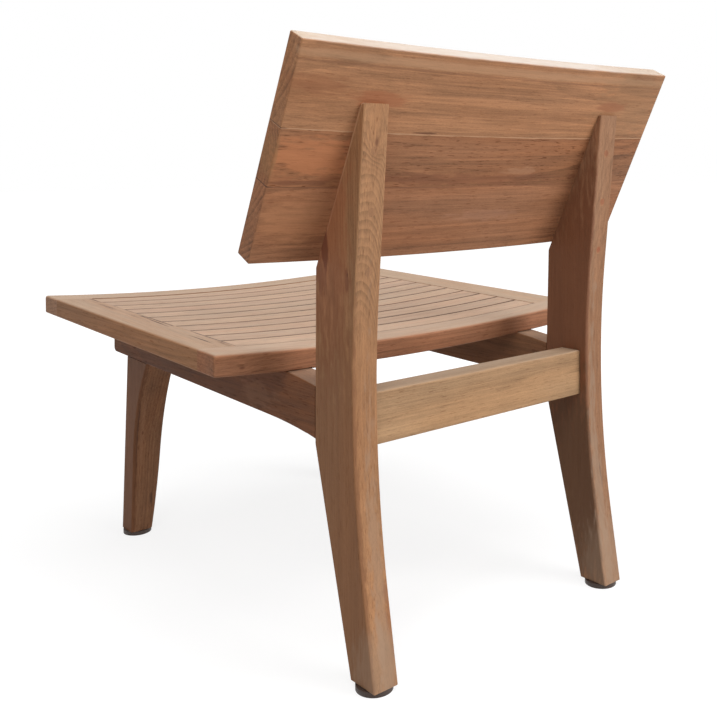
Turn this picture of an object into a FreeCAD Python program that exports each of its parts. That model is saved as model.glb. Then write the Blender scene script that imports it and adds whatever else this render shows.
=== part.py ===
import FreeCAD
import Part
import math
import os

# A low slatted lounge chair in solid teak, in millimetres.
# +X is the sitter's left, +Y is the back of the chair and +Z is up.
# The chair is set out as on a maker's rod: a station is a distance behind the
# seat's front edge, and a height is measured from the floor. The finished
# pieces are then shifted so that the origin is the centre of the footprint.

# Stance of the frame
leg_span = 422.0                  # over the outer faces of the legs
frame_stock = 34.0                # plank of the rear legs, side rails and rear rail
glide_height = 6.0
arris = 2.0                       # rounding of the frame's long edges
overrun = 10.0                    # how far a cutting shape runs past a face
same_place = 0.003                # places this close count as one
hole_clearance = 0.1              # round a screw or nail, on the radius
mortise_spare = 1.0               # room at the end of a tenon, a tongue or a screw

# Rear leg, one plank from the foot to the tip behind the backrest
seat_to_leg_gap = 52.0            # from the seat's rear edge to the legs' front faces
lower_bend_height = 256.0
lower_bend_radius = 10.0
front_face_rake = 6.0             # how far the front face leans back up to the slope
slope_start_height = 452.0        # where the slope for the backrest starts
rear_tip_drop = 55.0              # below the backrest's top edge
tip_depth = 4.5
rear_corner_height = 270.0        # where the two rear lines would meet
rear_corner_depth = 62.7
rear_bend_radius = 1300.0
rear_foot_reach = 63.5            # foot's front edge behind the lower bend
rear_foot_depth = 42.0

# Backrest, three boards glued edge to edge
backrest_width = 594.0
backrest_thickness = 25.0
backrest_lean = 26.1              # degrees from upright
backrest_bow = 9.5                # the middle lies this far behind the ends
backrest_lift = 13.5              # bottom edge above the start of the slope
lower_board_height = 92.5
middle_board_height = 66.0
upper_board_height = 94.0
backrest_arris = 1.8

# Seat, a frame with slats
seat_width = 614.0
seat_depth = 536.0
seat_front_height = 379.0
seat_pitch = 1.73                 # degrees, falling to the back
seat_thickness = 26.5
seat_dish = 12.0                  # the middle lies this far below the sides
front_member_width = 50.0
rear_member_width = 40.0
side_member_width = 30.0
slat_count = 11
slat_gap = 3.5
slat_recess = 0.5                 # slats lie below the frame's surface
slat_end_gap = 0.3
slat_chamfer = 0.6
seat_nose_radius = 4.5
seat_arris = 3.0
tongue_length = 9.0
tongue_thickness = 8.0
tongue_edge = 4.0                 # wood of a slat above its tongue
seat_tenon_length = 20.0
seat_tenon_thickness = 9.0
seat_tenon_shoulder = 5.0
rail_housing = 0.4                # least depth of the flat beds that sit on the side rails

# Side rails
side_rail_height = 62.0
rail_nose_station = 26.0
rail_nose_radius = 7.0
rail_curve_run = 95.0             # length of the curves down to the rear leg
rail_top_drop = 6.5
rail_bottom_drop = 6.0
frame_tenon_thickness = 12.0
tenon_shoulder = 8.0
side_tenon_length = 25.0

# Rear rail
rear_rail_height = 60.0
rear_rail_bottom = 259.2
rear_rail_setback = 10.2          # behind the line of the rear legs' rear faces
rear_rail_arris = 3.0
rear_tenon_length = 22.0

# Front legs
front_leg_station = 76.0
front_leg_width = 70.5            # along the rail, where it joins
front_leg_thickness = 45.5
front_foot_thickness = 34.0
front_foot_reach = 32.8           # foot's front edge ahead of the joint's
front_foot_depth = 35.0
front_waist_height = 130.0
front_waist_depth = 33.0
front_belly_height = 150.0        # the inner face hollows towards the foot below this
front_leg_chamfer = 2.0           # on the edges of the inner face
leg_tenon_length = 34.0

# Front rail, under the seat
front_rail_thickness = 24.0
front_rail_height = 46.0
front_rail_lift = 5.0             # above the bottom of the side rails
front_tenon_length = 9.0

# Fasteners
screw_diameter = 4.5
screw_head_diameter = 8.6
screw_head_height = 2.8
plug_diameter = 9.6
plug_length = 5.0
backrest_screw_land = 8.5         # wood of the leg between head and backrest
backrest_screw_bite = 17.0
backrest_screw_count = 3          # in each rear leg
lowest_screw_rise = 33.0          # above the start of the slope
highest_screw_drop = 41.0         # below the leg's tip
seat_screw_land = 30.0            # wood of the side rail above the head
seat_screw_bite = 16.0
front_screw_inset = 10.0          # ahead of the front member's inner edge
screwed_slat_shares = (0.3, 0.6)  # which slats are screwed down, along their count

# Glides
glide_diameter = 34.0
glide_bevel = 1.5
nail_diameter = 2.6
nail_length = 16.0                # inside the leg
nail_head_diameter = 7.0
nail_head_height = 1.2
nail_head_depth = 2.6             # from the floor to the underside of the nail's head

# Lengths worked out from the ones above
leg_outer = leg_span / 2
leg_inner = leg_outer - frame_stock
leg_middle = leg_outer - frame_stock / 2
seat_half = seat_width / 2
seat_inner = seat_half - side_member_width
backrest_half = backrest_width / 2
dish_radius = (seat_half ** 2 + seat_dish ** 2) / (2 * seat_dish)
bow_radius = (backrest_half ** 2 + backrest_bow ** 2) / (2 * backrest_bow)
rear_leg_station = seat_depth + seat_to_leg_gap
rear_member_station = seat_depth - rear_member_width
slat_room = rear_member_station - front_member_width - slat_gap * (slat_count + 1)
slat_width = slat_room / slat_count
pitch = math.radians(seat_pitch)
lean = math.radians(backrest_lean)
backrest_top = backrest_lift + lower_board_height + middle_board_height + upper_board_height
rear_leg_height = slope_start_height + backrest_top * math.cos(lean) - rear_tip_drop


def dip(x):
    """How far the seat's surface lies below its sides, at a distance x from the middle."""
    return seat_dish - dish_radius + math.sqrt(dish_radius ** 2 - x ** 2)


def bow(x):
    """How far the backrest's faces lie ahead of their middle, at a distance x from it."""
    return bow_radius - math.sqrt(bow_radius ** 2 - x ** 2)


rail_top_level = rail_housing - seat_thickness - dip(leg_outer)
rail_bottom_level = rail_top_level - side_rail_height


# Geometry helpers

def point(y, z, x=0.0):
    return FreeCAD.Vector(x, y, z)


def unit(vector):
    return vector * (1 / vector.Length)


def line(start, end):
    return Part.LineSegment(start, end).toShape()


def arc(start, middle, end):
    return Part.Arc(start, middle, end).toShape()


def tangent_arc(start, direction, end):
    """The arc that leaves start along a direction and runs to end, in the YZ plane."""
    ahead = unit(direction)
    across = point(-ahead.z, ahead.y)
    chord = end - start
    radius = chord.Length ** 2 / (2 * chord.dot(across))
    centre = start + across * radius
    middle = centre + unit((start - centre) + (end - centre)) * abs(radius)
    return arc(start, middle, end)


def as_spline(edge):
    """The same line as a spline, so that its rounded edge also closes where a joint cuts it."""
    return edge.toNurbs().Edges[0]


def eased_corner(before, corner, after, radius):
    """Start, middle, end and centre of the arc of this radius in a corner."""
    to_before = unit(before - corner)
    to_after = unit(after - corner)
    half = math.acos(to_before.dot(to_after)) / 2
    run = radius / math.tan(half)
    inward = unit(to_before + to_after)
    centre = corner + inward * (radius / math.sin(half))
    return corner + to_before * run, centre - inward * radius, corner + to_after * run, centre


def prism(edges, extent):
    return Part.Face(Part.Wire(edges)).extrude(extent)


def block(low, high):
    size = high - low
    return Part.makeBox(size.x, size.y, size.z, low)


def eased(solid, radius, chosen):
    return solid.makeFillet(radius, [edge for edge in solid.Edges if chosen(edge)])


def chamfered(solid, width, chosen):
    return solid.makeChamfer(width, [edge for edge in solid.Edges if chosen(edge)])


def lies_at(edge, axis, place):
    """Whether all of an edge's ends have this place along this axis."""
    return all(abs(getattr(vertex.Point, axis) - place) < same_place for vertex in edge.Vertexes)


def stands(edge):
    """Whether an edge rises or falls along most of its length."""
    heights = [vertex.Point.z for vertex in edge.Vertexes]
    return max(heights) - min(heights) > edge.Length / 2


def mirrored(shape):
    return shape.mirror(point(0, 0), point(0, 0, 1))


def both_sides(shape):
    return [shape, mirrored(shape)]


def tilted(shape, origin, degrees, x=0.0):
    """Put a shape drawn flat, with its depth along Y, at an origin, falling to the back."""
    rotation = FreeCAD.Rotation(point(0, 0, 1), -degrees)
    place = FreeCAD.Placement(origin + point(0, 0, x), rotation)
    moved = shape.copy()
    moved.Placement = place.multiply(moved.Placement)
    return moved


def moved_to(shape, place):
    shape.translate(place)
    return shape


# The seat is drawn flat: Y is the station along it, Z is zero at the side members' top

seat_origin = point(0, seat_front_height)


def on_seat(station, level):
    back = station * math.cos(pitch) + level * math.sin(pitch)
    rise = level * math.cos(pitch) - station * math.sin(pitch)
    return seat_origin + point(back, rise)


def in_place(shape):
    """Put a shape drawn in the seat's flat frame where it belongs."""
    return tilted(shape, seat_origin, seat_pitch)


# A screw stands on its head's seat: the head is below the origin, the shank runs up

def screw(land, bite):
    length = land + bite - screw_diameter
    head = Part.makeCylinder(screw_head_diameter / 2, screw_head_height, point(0, -screw_head_height))
    shank = Part.makeCylinder(screw_diameter / 2, length)
    tip = Part.makeCone(screw_diameter / 2, 0, screw_diameter, point(0, length))
    return head.fuse([shank, tip]).removeSplitter()


def screw_hole(land, bite):
    return Part.makeCylinder(screw_diameter / 2 + hole_clearance, land + bite + mortise_spare)


def screw_way(counterbore, land, bite):
    """What is cut for a screw: a counterbore down from its seat, and a hole up from it."""
    way = Part.makeCylinder(plug_diameter / 2, counterbore, point(0, -counterbore))
    return way.fuse(screw_hole(land, bite))


# Rear legs. Their sloped seat for the backrest follows its lean through slope_start.

slope_start = point(rear_leg_station + front_face_rake, slope_start_height)
lower_bend = point(rear_leg_station, lower_bend_height)


def slope_station(height):
    """Station of the backrest's rear face at a height, on the middle line of a rear leg."""
    return slope_start.y + (height - slope_start_height) * math.tan(lean)


rear_tip = point(slope_station(rear_leg_height) + tip_depth, rear_leg_height)
rear_corner = point(rear_leg_station + rear_corner_depth, rear_corner_height)
rear_foot_front = point(rear_leg_station + rear_foot_reach, glide_height)
rear_foot_back = point(rear_foot_front.y + rear_foot_depth, glide_height)
bend_start, bend_middle, bend_end, bend_centre = eased_corner(
    rear_tip, rear_corner, rear_foot_back, rear_bend_radius)
knee_start, knee_middle, knee_end, knee_centre = eased_corner(
    rear_foot_front, lower_bend, slope_start, lower_bend_radius)


def rear_face_station(height):
    """Station of a rear leg's rear face at a height within its long bend."""
    return bend_centre.y - math.sqrt(rear_bend_radius ** 2 - (height - bend_centre.z) ** 2)


def front_face_at(level):
    """Where a rear leg's front face crosses a level of the seat's own frame."""
    rake = front_face_rake / (slope_start_height - lower_bend_height)
    line_foot = lower_bend.y - rake * lower_bend.z
    height = level + seat_front_height * math.cos(pitch) - line_foot * math.sin(pitch)
    height = height / (math.cos(pitch) + rake * math.sin(pitch))
    return point(line_foot + rake * height, height)


def backrest_arc(offset):
    """The bowed line across the backrest, this far behind its rear face."""
    middle = bow(leg_middle) + offset
    end = middle - bow(backrest_half)
    return point(end, 0, -backrest_half), point(middle, 0), point(end, 0, backrest_half)


def backrest_slab(front, back, low, high):
    """The bowed slab between two offsets from the rear face, from low to high up the slope."""
    rear = backrest_arc(back)
    fore = backrest_arc(front)
    edges = [arc(*rear), line(rear[2], fore[2]), arc(fore[2], fore[1], fore[0]), line(fore[0], rear[0])]
    slab = prism(edges, point(0, high - low))
    slab.translate(point(0, low))
    return slab


def make_backrest_boards():
    panel = backrest_slab(-backrest_thickness, 0, backrest_lift, backrest_top)
    panel = eased(panel, backrest_arris, lambda edge: (
        lies_at(edge, "z", backrest_lift) or lies_at(edge, "z", backrest_top) or stands(edge)))
    boards = []
    low = backrest_lift
    for height in (lower_board_height, middle_board_height, upper_board_height):
        span = backrest_slab(-backrest_thickness - overrun, overrun, low, low + height)
        boards.append(panel.common(span))
        low += height
    return [tilted(board, slope_start, backrest_lean) for board in boards]


def side_rail_tenon(spare):
    top = front_face_at(rail_top_level - rail_top_drop)
    bottom = front_face_at(rail_bottom_level - rail_bottom_drop)
    half = frame_tenon_thickness / 2
    low = point(rear_leg_station - overrun, bottom.z + tenon_shoulder, leg_middle - half)
    reach = rear_leg_station + front_face_rake + side_tenon_length + spare
    return block(low, point(reach, top.z - tenon_shoulder, leg_middle + half))


rear_rail_back = rear_face_station(rear_rail_bottom + rear_rail_height / 2) - rear_rail_setback
rear_rail_front = rear_rail_back - frame_stock


def rear_rail_tenon(spare):
    half = frame_tenon_thickness / 2
    middle = (rear_rail_front + rear_rail_back) / 2
    low = point(middle - half, rear_rail_bottom + tenon_shoulder, leg_inner - overrun)
    top = rear_rail_bottom + rear_rail_height - tenon_shoulder
    return block(low, point(middle + half, top, leg_inner + rear_tenon_length + spare))


def rear_leg_blank():
    """The plank's outline with its two bends, eased all round, before its joints are cut."""
    above = point(slope_start.y, rear_leg_height)
    edges = [line(rear_foot_front, knee_start), arc(knee_start, knee_middle, knee_end),
             line(knee_end, slope_start), line(slope_start, above), line(above, rear_tip),
             line(rear_tip, bend_start), arc(bend_start, bend_middle, bend_end),
             line(bend_end, rear_foot_back), line(rear_foot_back, rear_foot_front)]
    blank = prism(edges, point(0, 0, frame_stock))
    blank.translate(point(0, 0, leg_inner))
    return eased(blank, arris, lambda edge: lies_at(edge, "x", leg_inner) or lies_at(edge, "x", leg_outer))


# The backrest's screws stand square to it. Upwards for a screw is forwards here.
backrest_screw_tilt = backrest_lean - 90
screw_outward = point(math.cos(lean), -math.sin(lean))
lowest_screw_height = slope_start_height + lowest_screw_rise
backrest_screw_spacing = rear_leg_height - highest_screw_drop - lowest_screw_height
backrest_screw_spacing = backrest_screw_spacing / (backrest_screw_count - 1)
backrest_screw_heights = [lowest_screw_height + backrest_screw_spacing * number
                          for number in range(backrest_screw_count)]


def backrest_screw_seat(height):
    return point(slope_station(height), height) + screw_outward * backrest_screw_land


def depth_to_rear_face(seat):
    """From a screw's seat, outwards along the screw, to the straight upper part of the rear face."""
    along = unit(rear_tip - rear_corner)
    square = point(along.z, -along.y)
    return (rear_tip - seat).dot(square) / screw_outward.dot(square)


def make_rear_leg():
    """The left rear leg, and the screws and plugs in it."""
    leg = rear_leg_blank()
    in_front = backrest_slab(-rear_leg_height, 0, -overrun, rear_leg_height)
    leg = leg.cut(tilted(in_front, slope_start, backrest_lean))
    leg = leg.cut([side_rail_tenon(mortise_spare), rear_rail_tenon(mortise_spare)])
    screws, plugs = [], []
    for height in backrest_screw_heights:
        seat = backrest_screw_seat(height)
        depth = depth_to_rear_face(seat)
        plug_start = -min(plug_length, depth - screw_head_height)
        core = Part.makeCylinder(plug_diameter / 2, overrun - plug_start, point(0, -depth - overrun))
        plugs.append(tilted(core, seat, backrest_screw_tilt, leg_middle).common(leg))
        way = screw_way(depth + overrun, backrest_screw_land, backrest_screw_bite)
        leg = leg.cut(tilted(way, seat, backrest_screw_tilt, leg_middle))
        one = screw(backrest_screw_land, backrest_screw_bite)
        screws.append(tilted(one, seat, backrest_screw_tilt, leg_middle))
    return leg, screws, plugs


# Rails

def make_side_rail():
    top_end = front_face_at(rail_top_level - rail_top_drop)
    bottom_end = front_face_at(rail_bottom_level - rail_bottom_drop)
    curve_station = rear_leg_station - rail_curve_run
    nose_top = on_seat(rail_nose_station, rail_top_level)
    nose_corner = on_seat(rail_nose_station, rail_bottom_level)
    top_curve = on_seat(curve_station, rail_top_level)
    bottom_curve = on_seat(curve_station, rail_bottom_level)
    along = point(math.cos(pitch), -math.sin(pitch))
    nose_start, nose_middle, nose_end, nose_centre = eased_corner(
        nose_top, nose_corner, bottom_curve, rail_nose_radius)
    edges = [line(nose_top, nose_start), arc(nose_start, nose_middle, nose_end),
             line(nose_end, bottom_curve), tangent_arc(bottom_curve, along, bottom_end),
             line(bottom_end, top_end), tangent_arc(top_curve, along, top_end),
             line(top_curve, nose_top)]
    rail = prism(Part.sortEdges(edges)[0], point(0, 0, frame_stock))
    rail.translate(point(0, 0, leg_inner))
    rail = eased(rail, arris, lambda edge: (
        (lies_at(edge, "x", leg_inner) or lies_at(edge, "x", leg_outer))
        and not lies_on_front_face(edge)))
    rail = rail.fuse(side_rail_tenon(0))
    return rail


def lies_on_front_face(edge):
    """Whether an edge lies on the rear leg's front face."""
    across = unit(slope_start - lower_bend)
    square = point(across.z, -across.y)
    return all(abs((vertex.Point - lower_bend).dot(square)) < same_place for vertex in edge.Vertexes)


def make_rear_rail():
    low = point(rear_rail_front, rear_rail_bottom, -leg_inner)
    top = rear_rail_bottom + rear_rail_height
    rail = block(low, point(rear_rail_back, top, leg_inner))
    rail = eased(rail, rear_rail_arris, lambda edge: lies_at(edge, "z", top) and not across_end(edge))
    rail = eased(rail, arris, lambda edge: lies_at(edge, "z", rear_rail_bottom) and not across_end(edge))
    return rail.fuse(both_sides(rear_rail_tenon(0)))


def across_end(edge):
    """Whether an edge lies in one of the planes of the rear legs' inner faces."""
    return lies_at(edge, "x", leg_inner) or lies_at(edge, "x", -leg_inner)


front_rail_station = front_leg_station + (front_leg_width - front_rail_thickness) / 2
front_rail_level = rail_bottom_level + front_rail_lift


def front_rail_tenon(spare):
    cheek = (front_rail_thickness - frame_tenon_thickness) / 2
    low = point(front_rail_station + cheek, front_rail_level + tenon_shoulder, leg_inner - overrun)
    high = point(front_rail_station + front_rail_thickness - cheek,
                 front_rail_level + front_rail_height - tenon_shoulder,
                 leg_inner + front_tenon_length + spare)
    return block(low, high)


def make_front_rail():
    low = point(front_rail_station, front_rail_level, -leg_inner)
    high = point(front_rail_station + front_rail_thickness, front_rail_level + front_rail_height, leg_inner)
    rail = eased(block(low, high), arris, lambda edge: not across_end(edge))
    rail = rail.fuse(both_sides(front_rail_tenon(0)))
    return in_place(rail)


# Front legs

front_joint_front = on_seat(front_leg_station, rail_bottom_level)
front_joint_back = on_seat(front_leg_station + front_leg_width, rail_bottom_level)
front_foot_front = point(front_joint_front.y - front_foot_reach, glide_height)
front_foot_back = point(front_foot_front.y + front_foot_depth, glide_height)


def leg_tenon(spare):
    half = frame_tenon_thickness / 2
    low = point(front_leg_station + tenon_shoulder, rail_bottom_level, leg_middle - half)
    high = point(front_leg_station + front_leg_width - tenon_shoulder,
                 rail_bottom_level + leg_tenon_length + spare, leg_middle + half)
    return in_place(block(low, high))


def make_front_leg():
    fall = (front_waist_height - glide_height) / (front_joint_front.z - glide_height)
    waist_front = front_foot_front + (front_joint_front - front_foot_front) * fall
    waist_back = waist_front + point(front_waist_depth, 0)
    flare = as_spline(tangent_arc(waist_back, waist_back - front_foot_back, front_joint_back))
    side = [line(front_joint_front, front_foot_front), line(front_foot_front, front_foot_back),
            line(front_foot_back, waist_back), flare, line(front_joint_back, front_joint_front)]
    leg = prism(side, point(0, 0, front_leg_thickness + overrun))
    leg.translate(point(0, 0, leg_outer - front_leg_thickness - overrun))

    # The inner face is a shallow arc, fullest at the belly and hollowed to the foot
    inner = leg_outer - front_leg_thickness
    foot_inner = leg_outer - front_foot_thickness
    outside = leg_outer + overrun
    start = front_foot_front.y - overrun
    top = front_joint_front.z
    face = [arc(point(start, top, inner), point(start, front_belly_height, inner),
                point(start, glide_height, foot_inner)),
            line(point(start, glide_height, foot_inner), point(start, glide_height, outside)),
            line(point(start, glide_height, outside), point(start, top, outside)),
            line(point(start, top, outside), point(start, top, inner))]
    reach = front_joint_back.y - start + overrun
    leg = leg.common(prism(face, point(reach, 0)))
    leg = eased(leg, arris, lambda edge: stands(edge) and lies_at(edge, "x", leg_outer))
    leg = chamfered(leg, front_leg_chamfer, lambda edge: stands(edge) and lies_inside(edge))
    return leg.fuse(leg_tenon(0))


def lies_inside(edge):
    """Whether an edge lies on the left front leg's inner face."""
    return all(vertex.X < leg_outer - front_foot_thickness + same_place for vertex in edge.Vertexes)


# Seat

def seat_strip(half, start, end, recess):
    """A board across the seat, dished like it, with its top this far below the frame's surface."""
    thickness = seat_thickness - recess
    top = [point(start, -recess - dip(half), -half), point(start, -recess - seat_dish),
           point(start, -recess - dip(half), half)]
    low = [place - point(0, thickness) for place in top]
    edges = [arc(*top), line(top[2], low[2]), arc(low[2], low[1], low[0]), line(low[0], top[0])]
    return prism(edges, point(end - start, 0))


def seat_tenon(joint, length):
    """The tenon of the left side member at one joint, towards the front or the back."""
    low = -(seat_thickness + seat_tenon_thickness) / 2
    start, end = sorted((joint, joint + length))
    return block(point(start, low, seat_inner + seat_tenon_shoulder),
                 point(end, low + seat_tenon_thickness, seat_half - seat_tenon_shoulder))


def rail_bed():
    """Flat bed for the left side rail, cut into everything of the seat that rests on it."""
    return block(point(-overrun, rail_top_level - seat_thickness, leg_inner),
                 point(seat_depth + overrun, rail_top_level, leg_outer))


slat_pitch = slat_width + slat_gap
slat_starts = [front_member_width + slat_gap + slat_pitch * number for number in range(slat_count)]
tongue_top = -dip(seat_inner) - slat_recess - tongue_edge
screwed_slat_starts = [slat_starts[round(slat_count * share)] for share in screwed_slat_shares]
seat_screw_stations = (
    [front_member_width - front_screw_inset]
    + [start + slat_width / 2 for start in screwed_slat_starts]
    + [rear_member_station + rear_member_width / 2])


def at_seat_screws(make):
    """One shape at each screw of the left side rail, drawn in the seat's flat frame."""
    seat = rail_top_level - seat_screw_land
    return [moved_to(make(), point(station, seat, leg_middle)) for station in seat_screw_stations]


def seat_screw():
    return screw(seat_screw_land, seat_screw_bite)


def seat_screw_way():
    return screw_way(side_rail_height - seat_screw_land + overrun, seat_screw_land, seat_screw_bite)


def bedded(piece):
    """Cut the side rails' beds and the screws' holes into a piece of the seat."""
    cuts = []
    for cut in [rail_bed()] + at_seat_screws(seat_screw_way):
        cuts += both_sides(cut)
    return piece.cut(cuts)


def make_front_member():
    strip = seat_strip(seat_half, 0, front_member_width, 0)
    return finished_member(strip, 0, front_member_width, -(seat_tenon_length + mortise_spare))


def make_rear_member():
    strip = seat_strip(seat_half, rear_member_station, seat_depth, 0)
    return finished_member(strip, seat_depth, rear_member_station, seat_tenon_length + mortise_spare)


def at_top(edge):
    """Whether an edge of the seat's flat frame lies in the upper half of its thickness."""
    return all(vertex.Z > -seat_thickness / 2 for vertex in edge.Vertexes)


def at_seat_side(edge):
    return lies_at(edge, "x", seat_half) or lies_at(edge, "x", -seat_half)


def finished_member(strip, nose, joint, mortise_depth):
    """Round the nose, ease the outer edges and cut the joints of a member across the seat."""
    member = eased(strip, seat_nose_radius, lambda edge: (
        lies_at(edge, "y", nose) and at_top(edge) and not at_seat_side(edge)))
    member = eased(member, seat_arris, lambda edge: (
        (at_seat_side(edge) and not lies_at(edge, "y", joint))
        or (lies_at(edge, "y", nose) and not at_top(edge))))
    return bedded(member.cut(both_sides(seat_tenon(joint, mortise_depth))))


def make_side_member():
    """The left side member, dished with the members that it joins."""
    strip = seat_strip(seat_half, front_member_width, rear_member_station, 0)
    low = point(front_member_width, -seat_thickness - seat_dish, seat_inner)
    member = strip.common(block(low, point(rear_member_station, 0, seat_half)))
    member = eased(member, seat_arris, lambda edge: (
        lies_at(edge, "x", seat_half) and not lies_at(edge, "y", front_member_width)
        and not lies_at(edge, "y", rear_member_station)))
    groove_low = point(front_member_width, tongue_top - tongue_thickness, seat_inner)
    groove_end = seat_inner + tongue_length + mortise_spare
    member = member.cut(block(groove_low, point(rear_member_station, tongue_top, groove_end)))
    return member.fuse([seat_tenon(front_member_width, -seat_tenon_length),
                        seat_tenon(rear_member_station, seat_tenon_length)])


def make_slat(start):
    half = seat_inner - slat_end_gap
    end = start + slat_width
    slat = seat_strip(half, start, end, slat_recess)
    slat = chamfered(slat, slat_chamfer, lambda edge: (
        at_top(edge) and (lies_at(edge, "y", start) or lies_at(edge, "y", end))))
    tongue = block(point(start + slat_chamfer, tongue_top - tongue_thickness, half - overrun),
                   point(end - slat_chamfer, tongue_top, seat_inner + tongue_length))
    return bedded(slat.fuse(both_sides(tongue)))


# Glides and their nails, each drawn about its own axis and standing on the floor

def make_glide():
    radius = glide_diameter / 2
    disc = Part.makeCylinder(radius, glide_height)
    disc = chamfered(disc, glide_bevel, lambda edge: lies_at(edge, "z", 0) and len(edge.Vertexes) == 1)
    recess = Part.makeCylinder(nail_head_diameter / 2 + hole_clearance, nail_head_depth)
    hole = Part.makeCylinder(nail_diameter / 2, glide_height)
    return disc.cut(recess.fuse(hole))


def make_nail():
    seat = point(0, nail_head_depth)
    head = Part.makeCylinder(nail_head_diameter / 2, nail_head_height, seat - point(0, nail_head_height))
    shank = Part.makeCylinder(nail_diameter / 2, glide_height + nail_length - nail_head_depth, seat)
    return head.fuse(shank).removeSplitter()


def nail_hole():
    return Part.makeCylinder(nail_diameter / 2, nail_length + mortise_spare, point(0, glide_height))


rear_foot_centre = point((rear_foot_front.y + rear_foot_back.y) / 2, 0, leg_middle)
front_foot_middle = leg_outer - front_foot_thickness / 2
front_foot_centre = point((front_foot_front.y + front_foot_back.y) / 2, 0, front_foot_middle)


# The whole chair

def make_chair():
    parts = {}

    def pair(name, shape):
        parts[name + "_left"] = shape
        parts[name + "_right"] = mirrored(shape)

    rear_leg, backrest_screws, plugs = make_rear_leg()
    pair("rear_leg", rear_leg.cut(moved_to(nail_hole(), rear_foot_centre)))
    front_leg = make_front_leg().cut(moved_to(nail_hole(), front_foot_centre))
    pair("front_leg", front_leg)

    side_cuts = [leg_tenon(mortise_spare), in_place(front_rail_tenon(mortise_spare))]
    side_cuts += [in_place(way) for way in at_seat_screws(seat_screw_way)]
    pair("side_rail", make_side_rail().cut(side_cuts))
    parts["rear_rail"] = make_rear_rail()
    parts["front_rail"] = make_front_rail()

    holes = []
    for height in backrest_screw_heights:
        hole = screw_hole(backrest_screw_land, backrest_screw_bite)
        holes += both_sides(tilted(hole, backrest_screw_seat(height), backrest_screw_tilt, leg_middle))
    for name, board in zip(("lower", "middle", "upper"), make_backrest_boards()):
        parts["backrest_board_" + name] = board.cut(holes)

    parts["seat_front_member"] = in_place(make_front_member())
    parts["seat_rear_member"] = in_place(make_rear_member())
    pair("seat_side_member", in_place(make_side_member()))
    for number, start in enumerate(slat_starts, 1):
        parts["seat_slat_%02d" % number] = in_place(make_slat(start))

    for place, centre in (("front", front_foot_centre), ("rear", rear_foot_centre)):
        pair("glide_" + place, moved_to(make_glide(), centre))
    nails = [moved_to(make_nail(), centre) for centre in (front_foot_centre, rear_foot_centre)]
    parts["glide_nails"] = group(nails)
    parts["backrest_screws"] = group(backrest_screws)
    parts["backrest_plugs"] = group(plugs)
    parts["seat_screws"] = group([in_place(one) for one in at_seat_screws(seat_screw)])
    return parts


def group(shapes):
    """The pieces of the left side with those of the right, as separate solids."""
    return Part.makeCompound([one for shape in shapes for one in both_sides(shape)])


def to_footprint_centre(parts):
    """Shift every piece so that the origin is the centre of the chair's footprint."""
    box = Part.makeCompound(list(parts.values())).optimalBoundingBox()
    shift = point(-(box.YMin + box.YMax) / 2, -box.ZMin, -(box.XMin + box.XMax) / 2)
    for shape in parts.values():
        shape.translate(shift)
    return shift


chair = make_chair()
shift = to_footprint_centre(chair)
os.makedirs("parts", exist_ok=True)
for name, shape in chair.items():
    if not shape.isValid() or any(solid.Volume <= 0 for solid in shape.Solids):
        raise ValueError("a faulty solid in " + name)
    shape.exportStep("parts/" + name + ".step")
    print("%-24s %2d solid(s) %10.1f mm3" % (name, len(shape.Solids), shape.Volume))
box = Part.makeCompound(list(chair.values())).optimalBoundingBox()
print("size %.1f x %.1f x %.1f mm" % (box.XLength, box.YLength, box.ZLength))
print("shift along Y %.3f mm" % shift.y)
for label, centre in (("front", front_foot_centre), ("rear", rear_foot_centre)):
    print("%s glides at x %.2f, y %.2f mm" % (label, centre.x, centre.y + shift.y))
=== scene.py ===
# %% [markdown]
# # A low slatted lounge chair in teak
#
# The chair is made of sanded teak boards with softened edges. Its seat is a
# hollowed frame with eleven slats, and its back is three boards glued edge to
# edge and bowed as one panel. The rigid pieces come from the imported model.
# This script gives them their finishes. It also makes new side boards and
# slats for the seat, the round glides under the feet and the sockets in the
# seat's screws, and it sets up the light and the camera.

import bpy
import math
from mathutils import Matrix, Vector


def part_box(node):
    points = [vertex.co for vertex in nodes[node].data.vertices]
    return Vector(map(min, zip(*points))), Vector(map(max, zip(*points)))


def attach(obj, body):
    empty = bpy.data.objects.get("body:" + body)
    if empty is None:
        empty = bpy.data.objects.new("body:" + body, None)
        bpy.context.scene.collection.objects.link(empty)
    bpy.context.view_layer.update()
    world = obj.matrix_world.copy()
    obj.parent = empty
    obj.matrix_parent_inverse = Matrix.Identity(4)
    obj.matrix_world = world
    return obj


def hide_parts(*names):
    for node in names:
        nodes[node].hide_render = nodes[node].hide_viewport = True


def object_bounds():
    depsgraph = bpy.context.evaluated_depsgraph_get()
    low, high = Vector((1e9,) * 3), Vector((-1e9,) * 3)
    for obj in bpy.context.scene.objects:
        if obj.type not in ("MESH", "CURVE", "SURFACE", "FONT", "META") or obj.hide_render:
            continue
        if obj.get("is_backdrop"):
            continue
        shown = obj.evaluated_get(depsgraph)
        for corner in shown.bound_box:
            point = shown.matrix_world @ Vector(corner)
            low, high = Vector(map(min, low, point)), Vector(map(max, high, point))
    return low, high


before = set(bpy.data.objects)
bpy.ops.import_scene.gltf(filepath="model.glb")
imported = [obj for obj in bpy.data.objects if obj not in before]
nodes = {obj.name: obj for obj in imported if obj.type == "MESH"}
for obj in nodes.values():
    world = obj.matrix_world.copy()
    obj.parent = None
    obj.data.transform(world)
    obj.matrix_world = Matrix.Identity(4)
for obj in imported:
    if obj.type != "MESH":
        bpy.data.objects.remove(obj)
box_low, box_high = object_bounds()
print("pieces:", len(nodes))
print("size in metres:", [round(value, 4) for value in box_high - box_low])

# %% [markdown]
# ## Numbers in a shader
#
# Wood is built up from many small sums: a distance from the heart of the log,
# divided by the width of a year ring, with some noise added. In Blender each
# sum is a Math node. Adding them one by one would be hard to read, so a small
# class wraps a socket and turns Python's own signs into Math nodes.

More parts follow.
